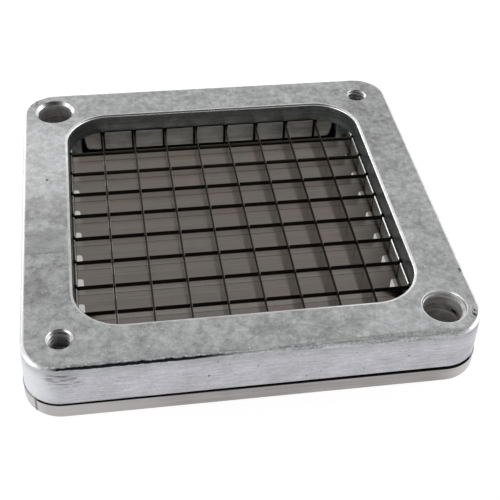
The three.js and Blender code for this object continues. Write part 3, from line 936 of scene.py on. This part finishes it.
def frame_finish(centre, normal):
    if normal.z > LEVEL_UP:
        return "top"
    if normal.z < -SEAM_FACING:
        return "seam"
    from_bolt = min(math.hypot(centre.x - s * HOLE_CENTRE, centre.y + s * HOLE_CENTRE) for s in (-1, 1))
    from_tap = min(math.hypot(centre.x - s * HOLE_CENTRE, centre.y - s * HOLE_CENTRE) for s in (-1, 1))
    at_bolt = from_bolt < BOLT_RADIUS + BOLT_MARGIN
    if at_bolt and centre.z < FRAME_TOP - BOLT_CHAMFER:
        return "bore"
    if at_bolt or from_tap < THREAD_MAJOR + TAPPED_CHAMFER:
        return "bore" if normal.z < MOUTH_UP or from_tap < THREAD_CORE + CORE_MARGIN else "edge"
    outside = max(abs(centre.x), abs(centre.y)) > CORNER_CENTRE
    if normal.z > SLOPING_UP:
        return "front" if centre.y < -CORNER_CENTRE else "edge"
    outward = normal.x * centre.x + normal.y * centre.y
    return "side" if outward > 0 and outside else "wall"


def plate_finish(centre, normal):
    return "seam" if normal.z > SEAM_FACING else "plate"


def smooth_shading(piece):
    """Sharp where faces meet at more than the sharp angle; flat faces keep their own normals."""
    mesh = piece.data
    work = bmesh.new()
    work.from_mesh(mesh)
    limit = math.radians(SHARP_ANGLE)
    for edge in work.edges:
        edge.smooth = len(edge.link_faces) == 2 and edge.calc_face_angle(0.0) < limit
    for face in work.faces:
        face.smooth = True
    work.to_mesh(mesh)
    work.free()
    weights = piece.modifiers.new("weights", "WEIGHTED_NORMAL")
    weights.keep_sharp = True
    weights.weight = 100


casting = make_frame()
paint(casting, ("top", "side", "edge", "wall", "bore", "front", "seam"), frame_finish)
smooth_shading(casting)
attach(casting, "root")
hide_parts("top_frame")

plate = make_plate()
paint(plate, ("plate", "seam"), plate_finish)
smooth_shading(plate)
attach(plate, "root")
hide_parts("base_plate")


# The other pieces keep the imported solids' shapes, and the bars' edges get a small rim

def dress(node, material):
    node.data.materials.clear()
    node.data.materials.append(material)


def add_rim(node):
    weld = node.modifiers.new("weld", "WELD")
    weld.merge_threshold = WELD_DISTANCE * MM
    edges = node.modifiers.new("edges", "BEVEL")
    edges.width = BAR_RIM * MM
    edges.segments = 1
    edges.use_clamp_overlap = False
    edges.limit_method = "ANGLE"
    edges.angle_limit = math.radians(RIM_ANGLE)


for name, node in nodes.items():
    if "blade_rod" in name or "screw" in name:
        dress(node, finishes["fixing"])
    elif "slotted_bar" in name:
        dress(node, finishes["bar"])
        add_rim(node)
    elif "blade" in name:
        dress(node, finishes["blade"])


# Floor, light and camera

FLOOR_HALF = 4000
FLOOR_GAP = 0.02
FLOOR_GLOW = 0.88

# Where the painted shadow of the plate's footprint fades in reflections, past the corners' centres, and
# where the painted shadow on the floor under the grid ends, squarely from the middle
FOOTPRINT_SHADOW_FADE = (7.5, 9.5)
GRID_SHADOW_FADE = (43.6, 44.4)

# Lamps: name, place and size in metres, and watts
LAMPS = (
    ("right_box", (0.75, 0.0, 0.3), (0.8, 0.6), 1.8),
    ("left_box", (-0.75, -0.25, 0.3), (0.8, 0.6), 2.2),
    ("back_box", (-0.45, 0.8, 0.15), (0.7, 0.25), 1.2),
)
LAMP_AIM = (0, 0, 0.01)

# The room is bright all round and dark overhead: the direction of the dark and its edges as cosines
DARK_DIRECTION = (0.02, -0.39, 0.92)
DARK_EDGES = (0.45, 0.82)
ROOM_LIGHT = (0.9, 0.02)


def floor_material():
    """White, with a painted shadow under the plate in reflections, and a cream painted shadow where seen
    through the grid.
    """
    s = Shader("white_floor")
    x, y = s.axes(s.place)[:2]
    rays = s.node("ShaderNodeLightPath").outputs
    past = [
        s.largest(s.math("SUBTRACT", s.math("ABSOLUTE", axis), CORNER_CENTRE * MM), 0.0) for axis in (x, y)
    ]
    out = s.math("SQRT", s.math("ADD", s.times(past[0], past[0]), s.times(past[1], past[1])))
    # Painted shadow: darker under the plate, where the part mirrors the floor
    footprint_shadow = s.times(s.along(out, *FOOTPRINT_SHADOW_FADE, 1.0, 0.0, True), rays["Is Glossy Ray"])
    colour = s.blend(footprint_shadow, grey(1.0), grey(0.2, (1.0, 0.955, 0.9)))
    # Painted shadow: cream where the camera sees the floor through the grid
    grid_shadow = s.along(s.square_reach(x, y), *GRID_SHADOW_FADE, 1.0, 0.0)
    colour = s.blend(s.times(grid_shadow, rays["Is Camera Ray"]), colour, grey(0.52, (1.0, 0.975, 0.93)))
    glow = s.node("ShaderNodeEmission", Color=colour, Strength=FLOOR_GLOW)
    shadowed = s.node("ShaderNodeBsdfDiffuse", Color=grey(0.34))
    seen = s.node("ShaderNodeAddShader")
    s.feed(seen.inputs[0], shadowed.outputs[0])
    s.feed(seen.inputs[1], glow.outputs[0])
    matt = s.node("ShaderNodeBsdfDiffuse", Color=grey(0.86))
    mix = s.node("ShaderNodeMixShader")
    s.feed(mix.inputs[0], s.largest(rays["Is Camera Ray"], rays["Is Glossy Ray"]))
    s.feed(mix.inputs[1], matt.outputs[0])
    s.feed(mix.inputs[2], seen.outputs[0])
    return s.output(mix)


def make_floor():
    corners = [(sx * FLOOR_HALF, sy * FLOOR_HALF, 0) for sx, sy in ((-1, -1), (1, -1), (1, 1), (-1, 1))]
    floor = mesh_object("floor", corners, [(0, 1, 2, 3)])
    floor.location.z = -FLOOR_GAP * MM
    floor.data.materials.append(floor_material())


def area_light(name, place, size, power):
    lamp = bpy.data.lights.new(name, "AREA")
    lamp.shape = "RECTANGLE"
    lamp.size, lamp.size_y = size
    lamp.energy = power
    holder = bpy.data.objects.new(name, lamp)
    holder.location = place
    holder.rotation_mode = "QUATERNION"
    holder.rotation_quaternion = (Vector(LAMP_AIM) - Vector(place)).to_track_quat("-Z", "Y")
    bpy.context.scene.collection.objects.link(holder)


def make_world():
    world = bpy.data.worlds.new("studio")
    world.use_nodes = True
    tree = world.node_tree
    background = tree.nodes["Background"]
    direction = tree.nodes.new("ShaderNodeTexCoord").outputs["Generated"]
    toward = tree.nodes.new("ShaderNodeVectorMath")
    toward.operation = "DOT_PRODUCT"
    tree.links.new(direction, toward.inputs[0])
    toward.inputs[1].default_value = Vector(DARK_DIRECTION).normalized()
    shade = tree.nodes.new("ShaderNodeMapRange")
    shade.interpolation_type = "SMOOTHSTEP"
    tree.links.new(toward.outputs["Value"], shade.inputs["Value"])
    shade.inputs["From Min"].default_value, shade.inputs["From Max"].default_value = DARK_EDGES
    shade.inputs["To Min"].default_value, shade.inputs["To Max"].default_value = ROOM_LIGHT
    background.inputs["Color"].default_value = (1, 1, 1, 1)
    tree.links.new(shade.outputs["Result"], background.inputs["Strength"])
    bpy.context.scene.world = world


def make_camera():
    camera = bpy.data.cameras.new("camera")
    camera.lens = CAMERA_LENS
    camera.sensor_width = CAMERA_FILM
    camera.clip_start = CAMERA_CLIP[0] * MM
    camera.clip_end = CAMERA_CLIP[1] * MM
    holder = bpy.data.objects.new("camera", camera)
    holder.location = Vector(CAMERA_PLACE) * MM
    holder.rotation_mode = "QUATERNION"
    straight = Vector(CAMERA_VIEW).to_track_quat("-Z", "Y")
    holder.rotation_quaternion = straight @ Quaternion((0, 0, 1), math.radians(CAMERA_ROLL))
    bpy.context.scene.collection.objects.link(holder)
    bpy.context.scene.camera = holder


make_floor()
make_world()
for lamp in LAMPS:
    area_light(*lamp)
make_camera()
bpy.context.scene.view_settings.view_transform = "Standard"
